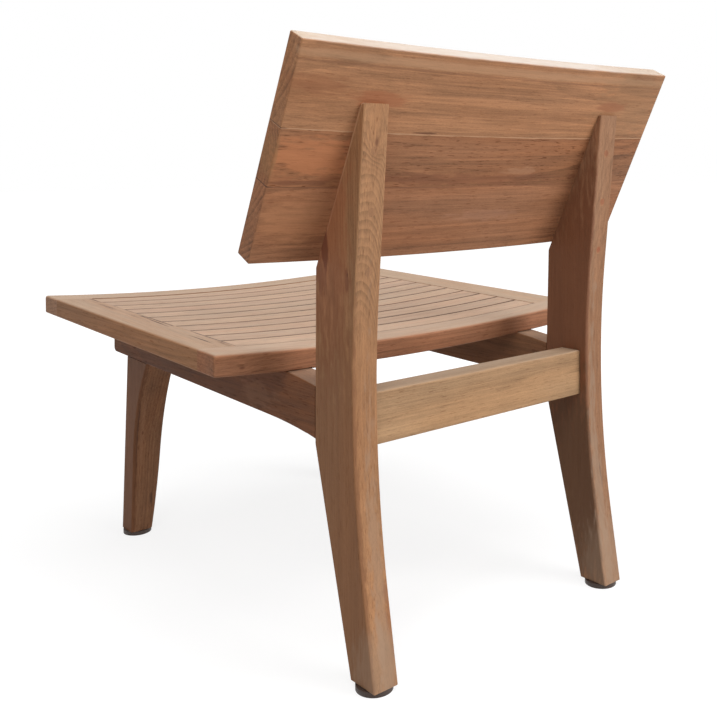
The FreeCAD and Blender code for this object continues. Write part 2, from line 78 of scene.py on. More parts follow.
# %% Sums on sockets
class Value:
    """A number that changes over a surface, and the sums that can be made with it."""

    def __init__(self, finish, socket):
        self.finish = finish
        self.socket = socket

    def sum(self, operation, *values, clamped=False):
        """The result of a Math node that works on these values."""
        settings = {"operation": operation, "use_clamp": clamped}
        return self.finish.add("ShaderNodeMath", settings, dict(enumerate(values)))

    def __add__(self, other):
        return self.sum("ADD", self, other)

    def __sub__(self, other):
        return self.sum("SUBTRACT", self, other)

    def __mul__(self, other):
        return self.sum("MULTIPLY", self, other)

    def __truediv__(self, other):
        return self.sum("DIVIDE", self, other)

    def __abs__(self):
        return self.sum("ABSOLUTE", self)

    def __rsub__(self, other):
        return self.sum("SUBTRACT", other, self)

    def __rpow__(self, other):
        return self.sum("POWER", other, self)

    __radd__ = __add__
    __rmul__ = __mul__

    def over(self, low, high):
        """0 below low, 1 above high, and a smooth rise between them."""
        settings = {"interpolation_type": "SMOOTHSTEP"}
        values = {"Value": self, "From Min": low, "From Max": high, "To Min": 0.0, "To Max": 1.0}
        return self.finish.add("ShaderNodeMapRange", settings, values)

    def part(self):
        """What is left of it after the decimal point."""
        return self.sum("FRACT", self)

    def whole(self):
        """Itself without what is after the decimal point."""
        return self.sum("FLOOR", self)

    def clipped(self):
        """Itself, but never under 0 or over 1."""
        return self.sum("ADD", self, 0.0, clamped=True)


print("signs that make Math nodes: + - * / ** abs")

# %% [markdown]
# ## One place for every other node
#
# A second class holds a node tree. One method of it adds a node of any kind:
# first its settings, then the values or links of its sockets. Colours and
# places are mixed and multiplied as a whole, because a Math node would make a
# grey number of them. A material and the studio's world both use the class.

# %% Nodes in a tree
class Nodes:
    """A node tree, with a method that adds any node to it."""

    def __init__(self, tree, shader):
        self.tree = tree
        self.shader = tree.nodes[shader]

    def find(self, sockets, key):
        """A socket in use, by its name or by its place in the list."""
        used = [socket for socket in sockets if socket.enabled]
        return used[key] if isinstance(key, int) else next(socket for socket in used if socket.name == key)

    def feed(self, socket, value):
        """Link a Value to a socket, or set the socket to a plain number or colour."""
        if isinstance(value, Value):
            self.tree.links.new(value.socket, socket)
        else:
            socket.default_value = value

    def add(self, kind, settings, inputs, output=0):
        """A node of a kind, with its settings first and then the values or links of its sockets."""
        node = self.tree.nodes.new(kind)
        for name, setting in settings.items():
            setattr(node, name, setting)
        for key, value in inputs.items():
            self.feed(self.find(node.inputs, key), value)
        return Value(self, self.find(node.outputs, output))

    def finish_with(self, **inputs):
        """Set the main shader's own sockets, with an underscore for each space in a name."""
        for name, value in inputs.items():
            self.feed(self.shader.inputs[name.replace("_", " ")], value)


class Finish(Nodes):
    """One material, and the few nodes that every finish here is made of."""

    def __init__(self, name):
        self.material = bpy.data.materials.new(name)
        self.material.use_nodes = True
        super().__init__(self.material.node_tree, "Principled BSDF")

    def place(self):
        """Where a point of the surface is in the chair, in metres."""
        return self.add("ShaderNodeTexCoord", {}, {}, "Object")

    def mix(self, first, second, factor, blend="MIX"):
        """The first colour at a factor of 0, and the second one blended with it fully at 1."""
        settings = {"data_type": "RGBA", "blend_type": blend}
        return self.add("ShaderNodeMix", settings, {"Factor": factor, "A": first, "B": second}, "Result")

    def noise(self, vector, stretch, detail=2.0, roughness=0.5):
        """Noise round zero, with this many features in a metre along each axis."""
        stretched = self.stretched(vector, stretch)
        values = {"Vector": stretched, "Scale": 1.0, "Detail": detail, "Roughness": roughness}
        return self.add("ShaderNodeTexNoise", {}, values, "Fac") - 0.5

    def stretched(self, vector, stretch):
        """A place with each of its three numbers multiplied."""
        return self.add("ShaderNodeVectorMath", {"operation": "MULTIPLY"}, {0: vector, 1: stretch})

    def moved(self, vector, step):
        """A place with a step added to it."""
        return self.add("ShaderNodeVectorMath", {"operation": "ADD"}, {0: vector, 1: step})

    def length(self, vector):
        """How long a vector is."""
        return self.add("ShaderNodeVectorMath", {"operation": "LENGTH"}, {0: vector}, "Value")

    def along(self, vector, direction):
        """How far a vector goes in a direction."""
        settings = {"operation": "DOT_PRODUCT"}
        return self.add("ShaderNodeVectorMath", settings, {0: vector, 1: direction}, "Value")


def colour_of(red, green, blue):
    """A screen's colour (sRGB), from 0 to 255, in the numbers that a shader works with."""
    linear = []
    for value in (red, green, blue):
        share = value / 255
        linear.append(share / 12.92 if share <= 0.04045 else ((share + 0.055) / 1.055) ** 2.4)
    return (*linear, 1.0)


print("mid grey in a shader:", round(colour_of(128, 128, 128)[0], 3))

# %% [markdown]
# ## How a board was cut
#
# A board shows the year rings of the tree that it was cut from. The rings are
# nested tubes round the heart of the log, so one pattern in space gives each
# face what a saw would show: lines along the sides, arches where a face cuts
# the rings at a slant, and arcs on the end grain. A picture laid over the
# faces would not meet at the edges. So each board here has its own heart, its
# own direction of grain and its own tone, and they are matched to the real
# chair.

# %% A board and its marks
UP = Vector((0, 0, 1))
BACK = Vector((0, 1, 0))
LEFT = Vector((1, 0, 0))


class Board:
    """How one board was cut from its log, and what its wood looks like."""

    def __init__(self, across, up, heart, tone, ring=0.004, figure=1.0, warp=1.0, streak=1.0,
                 dash=1.0, bleach=0.0, seed=0.0, face=None, calm_below=None, gap_shading=0.0,
                 half_width=1.0, knots=(), marks=()):
        self.across = Vector(across).normalized()
        self.up = Vector(up).normalized()
        self.grain = self.across.cross(self.up)
        self.heart = heart                 # from the board's middle, across and up, in metres
        self.tone = tone                   # mean colour on a screen
        self.ring = ring                   # width of a year ring
        self.figure = figure               # how strongly the rings show
        self.warp = warp                   # how much the rings wander
        self.streak = streak               # how strong its long streaks are
        self.dash = dash                   # how strong its short dark pores are
        self.bleach = bleach               # how pale its upward faces are: bleach and painted sheen
        self.seed = seed                   # moves all noise, so that no two boards are alike
        self.face = Vector(face or across).normalized()     # square to its broad face
        self.calm_below = calm_below       # a height under which the rings hardly show
        self.gap_shading = gap_shading                 # how dark its long narrow sides are painted, as shade in the gaps
        self.half_width = half_width       # how far those sides are from its middle
        self.knots = knots                 # for each: its place, its radius and how far rings swell
        self.marks = marks

    def turn(self):
        """The rotation from the log, whose grain runs along Z, to the board's place in the chair."""
        return Matrix((self.across, self.up, self.grain)).transposed()


class Mark:
    """A stain or crack: an ellipsoid round a place, with its radii across, up and along the grain."""

    def __init__(self, place, radii, colour, amount, ragged=0.5, pitch=None):
        self.place = Vector(place)
        self.radii = radii
        self.colour = colour               # on a screen
        self.amount = amount               # how much of it covers the wood, from 0 to 1
        self.ragged = ragged               # how uneven its outline is
        self.pitch = pitch                 # for thin lines along the grain, how far apart they are


class Seam(Mark):
    """A glue line: the thin space between two planes, square to a direction through a place."""

    def __init__(self, place, direction, width, colour, amount, ragged=0.5, above=0.0):
        super().__init__(place, (width / 2,) * 3, colour, amount, ragged)
        self.direction = Vector(direction).normalized()
        self.above = above                 # the height where it starts


print("directions: up", tuple(UP), "back", tuple(BACK), "left", tuple(LEFT))

# %% [markdown]
# ## Teak
#
# Teak is a golden brown wood with rings that are dark on one side and fade on
# the other, long fine fibres, and coarse pores that show as short dark dashes
# along the grain. The finish is built in that order: rings, then tone and
# streaks, then dashes and fibres. Noise that is stretched along the grain
# makes all of them, because growth runs that way, and on the end grain the
# same noise shows up as dots.

# %% Year rings
# Each noise is given by how many features it has in a metre, across, up and along the grain.
DRIFT = (7.0, 7.0, 1.3)           # rings wander off slowly
RIPPLE = (40.0, 40.0, 4.0)        # and in small waves
RICHNESS = (12.0, 12.0, 2.0)      # late wood is strong in one place and weak in another
KNOT_EDGE = (160.0, 160.0, 90.0)


def year_rings(wood, in_log, shifted, board, heart):
    """How dark the late wood is, from 0 to 1, and how near the heart of a knot is."""
    distance = wood.length(wood.stretched(in_log, (1.0, 1.0, 0.0)))
    drift = wood.noise(shifted, DRIFT) * (9.0 * board.warp)
    ripple = wood.noise(shifted, RIPPLE) * (1.6 * board.warp)
    rings = distance / board.ring + drift + ripple
    knot_shade = None
    for place, size, swell in board.knots:
        here = board.turn().inverted() @ (Vector(place) - heart)
        away = wood.length(wood.stretched(wood.moved(in_log, -here), (1.0, 1.0, 0.5)))
        away = away + wood.noise(shifted, KNOT_EDGE) * (size * 0.8)
        near = math.e ** (away * away * (-0.5 / (size * 2.4) ** 2))
        rings = rings + near * swell
        shade = 1.0 - away.over(size * 0.3, size * 1.2)
        knot_shade = shade if knot_shade is None else knot_shade + shade
    phase = rings.part()
    own_shade = wood.add("ShaderNodeTexWhiteNoise", {"noise_dimensions": "1D"},
                         {"W": rings.whole() + board.seed}, "Value")
    late = phase.over(0.15, 0.9) * (1.0 - phase.over(0.92, 1.0)) * (0.25 + 0.75 * own_shade)
    late = late * (0.55 + 0.9 * wood.noise(shifted, RICHNESS).over(-0.15, 0.2))
    if board.calm_below is not None:
        height = wood.along(wood.place(), UP) - board.calm_below
        late = late * (0.1 + 0.9 * height.over(-0.05, 0.03))
    return late, knot_shade


def lighter(tone, share):
    """A colour with all of its light multiplied."""
    red, green, blue, alpha = colour_of(*tone)
    return (red * share, green * share, blue * share, alpha)


print("a tone at half its light:", [round(value, 3) for value in lighter((165, 117, 85), 0.5)[:3]])

# %% [markdown]
# ## Age, wear, painted sheen and painted shade
#
# Sun and hands change bare teak. Upward faces bleach to a pale, pinkish tan,
# and a painted sheen makes them paler still. Rounded edges are rubbed lighter,
# and end grain drinks more oil and stays darker. The narrow sides of the slats
# and a thin strip beside them are painted dark, as shade in the gaps.
# All of this follows the direction of a face, so the finish asks the
# surface for its normal. A normal square to the board's broad face belongs to
# that face, and one that lies between two faces belongs to a rounded edge.
# Stains, cracks and glue lines are then laid in one by one.

# %% Wear, marks, painted sheen and painted shade
# The colour of upward faces: bleach, with a painted sheen.
BLEACHED_AND_SHEEN = (184, 164, 143)                # on a screen
END_GRAIN = (0.92, 0.90, 0.88, 1.0)       # this one and the next multiply the wood's colour
# The next one is painted shade for the gaps between the slats.
GAP_SHADE = (0.16, 0.11, 0.08, 1.0)
PATCHES = (60.0, 60.0, 9.0)               # noise that makes wear patchy
STRIP_EDGE = (90.0, 90.0, 18.0)           # and the edge of the painted gap shade and the marks' outlines uneven
RAGGED = (190.0, 190.0, 45.0)
LINE_DEPTH = 300.0                        # features in a metre, for marks with a pitch
LINE_LENGTH = 12.0


# A direction's share in the normal is 1 on a face square to it and 0 on a face along it.
def painted_gap_shade(wood, board, in_log, shifted, normal):
    """How much painted shade a slat gets: on its sides, and on a thin strip of its top beside each gap."""
    narrow = abs(wood.along(normal, board.face.cross(board.grain))).over(0.35, 0.80)
    from_side = board.half_width - abs(wood.along(in_log, (1.0, 0.0, 0.0)) + board.heart[0])
    strip = 1.0 - (from_side + wood.noise(shifted, STRIP_EDGE) * 0.0016).over(0.0003, 0.0014)
    return (narrow + strip * 0.6).clipped() * board.gap_shading


def wear_and_painted_light(wood, colour, board, in_log, shifted, normal, end):
    """Rubbed edges, oily end grain, painted gap shade, and bleach with painted sheen on tops, laid over a
    colour.
    """
    patchy = wood.noise(shifted, PATCHES, 3.0)
    square = abs(wood.along(normal, board.face))
    edge = square.over(0.15, 0.4) * (1.0 - square.over(0.9, 0.985)) * (0.45 + patchy).clipped()
    colour = wood.mix(colour, lighter(board.tone, 1.45), edge * (0.55 * (1.0 - board.gap_shading)))
    colour = wood.mix(colour, END_GRAIN, end, "MULTIPLY")
    # Painted shade on the slats' sides and on a strip beside each gap.
    if board.gap_shading:
        gap_shade_share = painted_gap_shade(wood, board, in_log, shifted, normal)
        colour = wood.mix(colour, GAP_SHADE, gap_shade_share, "MULTIPLY")
    # Bleach and painted sheen on upward faces.
    upward = wood.along(normal, UP).over(0.35, 0.97)
    bleached = (upward * board.bleach * (1.0 + patchy * 0.9)).clipped()
    return wood.mix(colour, colour_of(*BLEACHED_AND_SHEEN), bleached)


def marked(wood, colour, board, in_log, shifted, heart):
    """The board's own stains, cracks and glue lines, laid over a colour."""
    ragged = wood.noise(shifted, RAGGED, 3.0) if board.marks else None
    for mark in board.marks:
        if isinstance(mark, Seam):
            away = abs(wood.along(wood.moved(wood.place(), -mark.place), mark.direction)) / mark.radii[0]
            inside = 1.0 - (away + ragged * (2.0 * mark.ragged)).over(0.45, 1.0)
            inside = inside * wood.along(wood.place(), UP).over(mark.above, mark.above + 0.01)
        else:
            here = board.turn().inverted() @ (mark.place - heart)
            offset = wood.stretched(wood.moved(in_log, -here), [1 / radius for radius in mark.radii])
            inside = 1.0 - (wood.length(offset) + ragged * (2.0 * mark.ragged)).over(0.45, 1.0)
        if mark.pitch:
            lines = wood.noise(shifted, (LINE_DEPTH, 1.0 / mark.pitch, LINE_LENGTH), 1.0)
            inside = inside * lines.over(0.0, 0.10)
        colour = wood.mix(colour, colour_of(*mark.colour), inside * mark.amount)
    return colour


# %% The teak material
RED_AREAS = (22.0, 22.0, 3.0)     # noise, from coarse to fine
BAND = (40.0, 40.0, 1.1)
BLOTCH = (48.0, 48.0, 24.0)
STREAK = (240.0, 240.0, 3.2)
FIBRE = (620.0, 620.0, 14.0)
PORES = (760.0, 760.0, 62.0)
SPECK = (1400.0, 1400.0, 330.0)
LIGHTEST = 1.32                   # shares of the board's tone
DARKEST = 0.50
REDDER = (1.0, 0.90, 0.80, 1.0)   # this one and the next multiply the wood's colour
PORE = (0.45, 0.34, 0.28, 1.0)
KNOT = (104, 62, 42)              # on a screen


def teak(name, board, middle):
    """Rings, streaks, dashes, fibres, wear and marks for a board whose middle is given."""
    wood = Finish(name)
    turn = board.turn()
    heart = middle + turn @ Vector((*board.heart, 0.0))
    in_log = wood.add("ShaderNodeMapping", {"vector_type": "TEXTURE"},
                      {"Vector": wood.place(), "Location": heart, "Rotation": turn.to_euler()})
    shifted = wood.moved(in_log, (board.seed * 1.7, board.seed * 2.3, board.seed * 0.9))

    late, knot_shade = year_rings(wood, in_log, shifted, board, heart)
    band = wood.noise(shifted, BAND, 3.0)
    streak = wood.noise(shifted, STREAK, 3.0, 0.6)
    blotch = wood.noise(shifted, BLOTCH, 4.0, 0.6)
    fibre = wood.noise(shifted, FIBRE, 2.0, 0.6)
    speck = wood.noise(shifted, SPECK, 1.0)
    dash = wood.noise(shifted, PORES, 1.0).over(0.11, 0.22)

    normal = wood.add("ShaderNodeNewGeometry", {}, {}, "Normal")
    end = abs(wood.along(normal, board.grain)).over(0.7, 0.95)
    # The noises lie round zero, so the last number sets the mean between lightest and darkest.
    dark = late * (0.42 * board.figure + end * 0.3) + band * 0.85 + streak * (0.8 * board.streak)
    dark = dark + blotch * 0.40 + fibre * 0.7 + speck * 0.5 + 0.33
    colour = wood.mix(lighter(board.tone, LIGHTEST), lighter(board.tone, DARKEST), dark.clipped())
    red = wood.noise(shifted, RED_AREAS).over(-0.12, 0.2)
    colour = wood.mix(colour, REDDER, red * 0.7, "MULTIPLY")
    colour = wood.mix(colour, PORE, (dash * (0.5 * board.dash)).clipped(), "MULTIPLY")
    colour = wear_and_painted_light(wood, colour, board, in_log, shifted, normal, end)
    colour = marked(wood, colour, board, in_log, shifted, heart)
    if knot_shade is not None:
        colour = wood.mix(colour, colour_of(*KNOT), (knot_shade * 0.7).clipped())

    height = fibre * 0.6 - dash * 0.6 - late * 0.2
    bump = wood.add("ShaderNodeBump", {}, {"Strength": 0.3, "Distance": 0.0006, "Height": height})
    wood.finish_with(Base_Color=colour, Roughness=(0.66 + fibre * 0.2 + dash * 0.12).clipped(), Normal=bump,
                     Specular_IOR_Level=0.3)
    return wood.material


def dress(node, material):
    """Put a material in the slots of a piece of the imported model."""
    mesh = nodes[node].data
    mesh.materials.clear()
    mesh.materials.append(material)


def middle_of(node):
    """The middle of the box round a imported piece."""
    low, high = (Vector(corner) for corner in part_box(node))
    return (low + high) / 2


def dress_boards(boards):
    """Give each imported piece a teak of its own, cut as its board says."""
    for node, board in boards.items():
        dress(node, teak("teak_" + node, board, middle_of(node)))
    print("dressed in teak:", ", ".join(boards))


# %% [markdown]
# ## The backrest
#
# Three boards make one panel. The upper one is light with a paler band under
# its top edge, the middle one is redder with short dark dashes, and the lower
# one is an even mid brown. Their glue lines show as thin, uneven lines, here
# thin flat marks that run the whole length of a joint. The panel leans, so
# its boards have their own directions.

# %% The backrest's boards
LEAN = math.radians(26.1)
UP_THE_BACKREST = (0, math.sin(LEAN), math.cos(LEAN))
OUT_OF_THE_BACKREST = (0, math.cos(LEAN), -math.sin(LEAN))
PALE_LINE = (204, 160, 124)
DARK_LINE = (84, 54, 40)
UPPER_JOINT = Vector((0.0, 0.3149, 0.6054))       # on the rear face, half way along
LOWER_JOINT = Vector((0.0, 0.2858, 0.5458))
NEAR_END = Vector((0.2965, -0.014, 0.007))        # from there to the middle of the end grain


def backrest_board(heart, tone, **details):
    """A board that leans as the panel does, with straight grain."""
    return Board(OUT_OF_THE_BACKREST, UP_THE_BACKREST, heart, tone, warp=0.5, **details)


def glue_line(joint, colour, amount):
    """A soft line along a joint on the rear face, and a fine dark one across the end grain."""
    return (Seam(joint, UP_THE_BACKREST, 0.0030, colour, amount, 0.8),
            Mark(joint + NEAR_END, (0.04, 0.0011, 0.010), DARK_LINE, 0.9, 0.3))


dress_boards({
    "backrest_board_upper": backrest_board(
        (-0.16, 0.05), (171, 122, 86), ring=0.0075, seed=3.0, bleach=0.95, figure=0.7, streak=1.3, dash=0.7,
        # The first mark is a near-white band along the top edge, a painted highlight.
        marks=(Mark((0.0, 0.3495, 0.6978), (0.05, 0.0065, 0.60), (202, 192, 184), 0.85, 0.2),
               Mark((0.0, 0.3484, 0.680), (0.02, 0.007, 0.60), (198, 154, 118), 0.50, 0.3),
               Mark((0.0, 0.3450, 0.673), (0.02, 0.0016, 0.60), (132, 90, 64), 0.50, 1.0),
               Mark((-0.24, 0.3350, 0.652), (0.05, 0.060, 0.09), (150, 114, 82), 0.40, 0.8),
               Mark((0.1875, 0.3300, 0.641), (0.05, 0.012, 0.045), (166, 100, 66), 0.6, 0.6),
               Mark((-0.1967, 0.3330, 0.647), (0.05, 0.010, 0.040), (160, 98, 66), 0.55, 0.6),
               Mark((0.27, 0.335, 0.650), (0.05, 0.012, 0.05), (152, 98, 66), 0.5, 0.8),
               Mark((0.118, 0.3153, 0.607), (0.03, 0.0013, 0.020), (96, 60, 42), 0.8, 1.0))),
    "backrest_board_middle": backrest_board(
        (-0.10, -0.03), (158, 109, 76), ring=0.0048, seed=2.0, figure=1.0, dash=1.8, streak=1.4,
        marks=(*glue_line(UPPER_JOINT, PALE_LINE, 0.7),
               Mark((-0.06, 0.296, 0.563), (0.03, 0.007, 0.035), (190, 142, 108), 0.4, 1.1),
               # Painted light: this pale mark beside the near leg softens that leg's shadow on the panel.
               Mark((0.25, 0.300, 0.576), (0.03, 0.03, 0.08), (204, 132, 88), 0.6, 0.8),
               Mark((0.2965, 0.294, 0.577), (0.05, 0.03, 0.004), (150, 112, 74), 0.45, 0.4),
               Mark((0.05, 0.2905, 0.5545), (0.03, 0.009, 0.26), (126, 78, 54), 0.5, 1.0),
               Mark((0.25, 0.284, 0.552), (0.03, 0.004, 0.05), (118, 74, 52), 0.6, 1.0))),
    "backrest_board_lower": backrest_board(
        (-0.13, 0.10), (160, 111, 79), ring=0.0062, seed=1.0, figure=0.7, streak=1.2, dash=0.9,
        marks=(*glue_line(LOWER_JOINT, (120, 78, 56), 0.5),
               Mark((-0.02, 0.2695, 0.508), (0.03, 0.010, 0.07), (184, 134, 106), 0.35, 0.9),
               # Painted light: this pale mark beside the near leg softens that leg's shadow on the panel.
               Mark((0.25, 0.270, 0.510), (0.03, 0.035, 0.06), (190, 132, 92), 0.5, 0.7),
               Mark((0.24, 0.235, 0.445), (0.05, 0.018, 0.03), (132, 84, 58), 0.4, 0.9))),
})

# %% [markdown]
# ## The rear legs
#
# Each rear leg is one plank. Its rear face is sawn close to the heart, so the
# rings run out of it in a row of pointed arches, and its side shows straight
# grain. The near leg has a knot high up, and an old stain on its side where
# the backrest meets it. Both legs are bleached at the foot. The near leg's
# outer side and the far leg's inner side are painted darker, as shade.

# %% The rear legs
SLOPE_SEAM = (0.211, 0.2560, 0.4880)      # a place where the near leg meets the backrest

dress_boards({
    "rear_leg_left": Board(
        LEFT, BACK, (0.010, -0.048), (164, 120, 84), ring=0.0010, seed=4.0, figure=1.6, warp=1.3, streak=0.8,
        dash=0.8, bleach=0.8, calm_below=0.42,
        knots=(((0.1915, 0.3279, 0.5953), 0.0034, 4.0), ((0.211, 0.2985, 0.4532), 0.0015, 1.2),
               ((0.1975, 0.3145, 0.5330), 0.0013, 1.5), ((0.1975, 0.3030, 0.4790), 0.0013, 1.5)),
        marks=(Seam(SLOPE_SEAM, OUT_OF_THE_BACKREST, 0.0030, (196, 148, 112), 0.6, 0.5, 0.455),
               Mark((0.211, 0.2560, 0.4830), (0.012, 0.0085, 0.034), (62, 36, 28), 0.95, 0.8),
               Mark((0.211, 0.2480, 0.4500), (0.008, 0.014, 0.030), (82, 50, 36), 0.5, 1.2),
               Mark((0.211, 0.2975, 0.4480), (0.006, 0.0035, 0.014), (92, 54, 38), 0.6, 1.2),
               Mark((0.211, 0.262, 0.500), (0.014, 0.050, 0.22), (158, 92, 62), 0.45, 0.6),
               # Painted shade: the outer side, darker over its lower half.
               Mark((0.211, 0.28, 0.16), (0.008, 0.20, 0.34), (120, 77, 48), 0.6, 0.5),
               Mark((0.190, 0.335, 0.14), (0.012, 0.05, 0.30), (166, 136, 112), 0.45, 0.9),
               Mark((0.180, 0.340, 0.085), (0.006, 0.05, 0.050), (140, 88, 60), 0.45, 0.9),
               Mark((0.196, 0.336, 0.060), (0.006, 0.03, 0.070), (176, 142, 116), 0.40, 0.8),
               Mark((0.194, 0.334, 0.026), (0.05, 0.05, 0.06), (172, 144, 120), 0.35, 0.6))),
    "rear_leg_right": Board(
        LEFT, BACK, (-0.026, -0.120), (152, 112, 83), ring=0.0030, seed=5.0, figure=0.4, warp=0.8, streak=0.8,
        dash=0.6, bleach=0.8, calm_below=0.45,
        marks=(Mark((-0.1959, 0.3141, 0.1550), (0.0012, 0.01, 0.012), (60, 36, 28), 0.8, 0.6),
               Mark((-0.1975, 0.3160, 0.1400), (0.0010, 0.01, 0.010), (74, 46, 34), 0.6, 0.8),
               # The next two marks are painted shade on the inner side, darkest low down.
               Mark((-0.177, 0.300, 0.30), (0.006, 0.2, 0.40), (112, 66, 42), 0.74, 0.5),
               Mark((-0.177, 0.290, 0.13), (0.006, 0.2, 0.19), (94, 68, 46), 0.65, 0.9),
               Mark((-0.190, 0.332, 0.16), (0.012, 0.05, 0.30), (164, 138, 116), 0.5, 0.9),
               Mark((-0.194, 0.334, 0.026), (0.05, 0.05, 0.10), (176, 148, 124), 0.35, 0.6))),
})

# %% [markdown]
# ## Rails and front legs
#
# The side rails and the front legs lie in the seat's shade and are the darkest
# wood of the chair. The rear rail is a golden board whose worn top is pale from
# bleach and a painted sheen. The near front leg's outer face is painted dark, as
# shade.

# %% The rails and the front legs
dress_boards({
    "rear_rail": Board(
        BACK, UP, (-0.10, 0.02), (171, 136, 101), ring=0.0050, seed=10.0, figure=0.7, warp=1.3, streak=0.8,
        dash=0.9, bleach=0.55,
        marks=(Mark((0.177, 0.28, 0.29), (0.1, 0.1, 0.0016), (70, 44, 32), 0.8, 0.5),
               Mark((-0.177, 0.28, 0.29), (0.1, 0.1, 0.0016), (70, 44, 32), 0.8, 0.5))),
    "front_rail": Board(BACK, UP, (0.07, 0.04), (150, 106, 78), seed=11.0),
    "side_rail_left": Board(
        UP, LEFT, (0.02, -0.11), (112, 67, 36), ring=0.0046, seed=8.0, warp=1.8, bleach=0.3, face=LEFT,
        knots=(((0.211, 0.120, 0.300), 0.0020, 2.2),),
        marks=(Mark((0.2115, 0.105, 0.292), (0.022, 0.01, 0.05), (156, 110, 80), 0.4, 0.9),
               Mark((0.2115, 0.235, 0.30), (0.06, 0.01, 0.0016), (66, 42, 32), 0.8, 0.4))),
    "side_rail_right": Board(UP, LEFT, (0.03, 0.10), (128, 88, 60), ring=0.0046, seed=9.0, warp=1.4,
                             bleach=0.3, face=LEFT),
    "front_leg_left": Board(
        LEFT, BACK, (0.075, 0.040), (147, 104, 74), ring=0.0044, seed=6.0, figure=0.8, warp=0.6,
        knots=(((0.1975, -0.263, 0.1642), 0.0020, 1.6),),
        # The first mark is painted shade over the near leg's outer face.
        marks=(Mark((0.211, -0.26, 0.12), (0.008, 0.20, 0.34), (103, 60, 32), 0.7, 0.5),
               Mark((0.206, -0.262, 0.200), (0.0013, 0.02, 0.16), (78, 48, 36), 0.65, 0.5),
               Mark((0.1806, -0.2765, 0.0516), (0.0022, 0.01, 0.012), (62, 38, 30), 0.6, 0.9),
               Mark((0.1985, -0.262, 0.20), (0.0045, 0.02, 0.12), (176, 128, 96), 0.35, 0.5))),
    "front_leg_right": Board(LEFT, BACK, (-0.07, 0.05), (147, 104, 74), ring=0.0044, seed=7.0),
})

# %% [markdown]
# ## The seat
#
# The slats lie nearly flush with their frame and are pale on top, each a
# little differently, from bleach and a painted sheen. Their grain runs across
# the chair. The side members run from front to back, and beside the slats'
# ends thin dark lines run along them. The rear edge is freshly sanded and red.

# %% The seat's boards
def dark_lines_by_slat_ends(*places):
    """Thin dark lines along the grain, beside the slats' ends."""
    return [Mark((x, y, z), (0.02, 0.0120, run), (74, 44, 28), 0.90, 0.7, pitch=0.0034)
            for x, y, z, run in places]


seat_boards = {
    "seat_front_member": Board(BACK, UP, (0.03, -0.09), (168, 126, 96), ring=0.0052, seed=12.0, bleach=0.6,
                               figure=0.6, face=UP),
    "seat_rear_member": Board(
        BACK, UP, (-0.02, -0.09), (155, 106, 76), ring=0.0050, seed=13.0, bleach=0.65, figure=0.8, face=UP,
        knots=(((0.2724, 0.1787, 0.3431), 0.0020, 1.6),)),
    "seat_side_member_left": Board(
        UP, LEFT, (-0.06, -0.05), (154, 108, 72), ring=0.0046, seed=14.0, bleach=0.50, figure=0.7,
        marks=(*dark_lines_by_slat_ends((0.264, -0.280, 0.3748, 0.030), (0.263, -0.200, 0.3700, 0.055),
                           (0.263, -0.075, 0.3660, 0.065), (0.270, 0.095, 0.3620, 0.060)),
               Mark((0.2562, 0.085, 0.3620), (0.02, 0.0018, 0.080), (62, 38, 26), 0.9, 0.6),
               Mark((0.2562, -0.120, 0.3670), (0.02, 0.0013, 0.140), (84, 54, 38), 0.65, 0.9))),
    "seat_side_member_right": Board(UP, LEFT, (-0.07, 0.05), (156, 114, 80), ring=0.0046, seed=15.0,
                                    bleach=0.55, figure=0.7),
}
SLAT_TONES = ((172, 128, 100), (166, 122, 95), (176, 134, 106), (162, 116, 90), (174, 130, 101),
              (168, 126, 99), (178, 134, 104), (164, 120, 94), (173, 127, 98), (167, 124, 98),
              (176, 132, 104))
for number, tone in enumerate(SLAT_TONES, 1):
    low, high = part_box("seat_slat_%02d" % number)
    heart = (0.03 * math.sin(number * 2.4), -0.05 - 0.02 * math.cos(number * 1.7))    # another for each
    seat_boards["seat_slat_%02d" % number] = Board(
        BACK, UP, heart, tone, ring=0.0052, seed=20.0 + number, bleach=0.55, streak=1.8, dash=1.5,
        face=UP, gap_shading=0.9, half_width=(high.y - low.y) / 2)
dress_boards(seat_boards)

# %% [markdown]
# ## Wide side boards
#
# On the real seat the boards at its sides are as wide as the front one, and
# the slats end at them in a clear line. The imported side boards are narrower,
# so new ones take their place. They could be drawn from nothing, but a copy of
# an imported board already has the seat's hollow. Its loose triangles are merged
# first, and then it can be shaped like any closed form. The side board's
# inner edge moves in and down with the hollow, and the slats are sawn off by
# Bisect, which also closes the cut.

# %% Copies that can be shaped
SAME_PLACE = 0.000001             # corners nearer than this become one


def copy_of(node, name):
    """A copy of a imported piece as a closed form, selected and in edit mode."""
    bpy.ops.object.select_all(action="DESELECT")
    piece = bpy.data.objects.new(name, nodes[node].data.copy())
    bpy.context.collection.objects.link(piece)
    piece.select_set(True)
    bpy.context.view_layer.objects.active = piece
    bpy.ops.mesh.customdata_custom_splitnormals_clear()
    bpy.ops.object.mode_set(mode="EDIT")
    bpy.ops.mesh.select_all(action="SELECT")
    bpy.ops.mesh.remove_doubles(threshold=SAME_PLACE)
    return piece


def select_where(piece, kind, test):
    """Select the vertices or faces that pass a test, and nothing else."""
    bpy.ops.mesh.select_mode(type=kind)
    bpy.ops.mesh.select_all(action="DESELECT")
    bpy.ops.object.mode_set(mode="OBJECT")
    for element in piece.data.vertices if kind == "VERT" else piece.data.polygons:
        element.select = test(element)
    bpy.ops.object.mode_set(mode="EDIT")


def stands_for(piece, node, angle):
    """Shade flat faces flat and round ones smooth, and put the active piece in a node's place."""
    bpy.ops.object.mode_set(mode="OBJECT")
    bpy.ops.object.shade_smooth_by_angle(angle=math.radians(angle))
    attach(piece, "root")
    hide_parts(node)
    print(piece.name, "stands for", node, "with", len(piece.data.polygons), "faces")


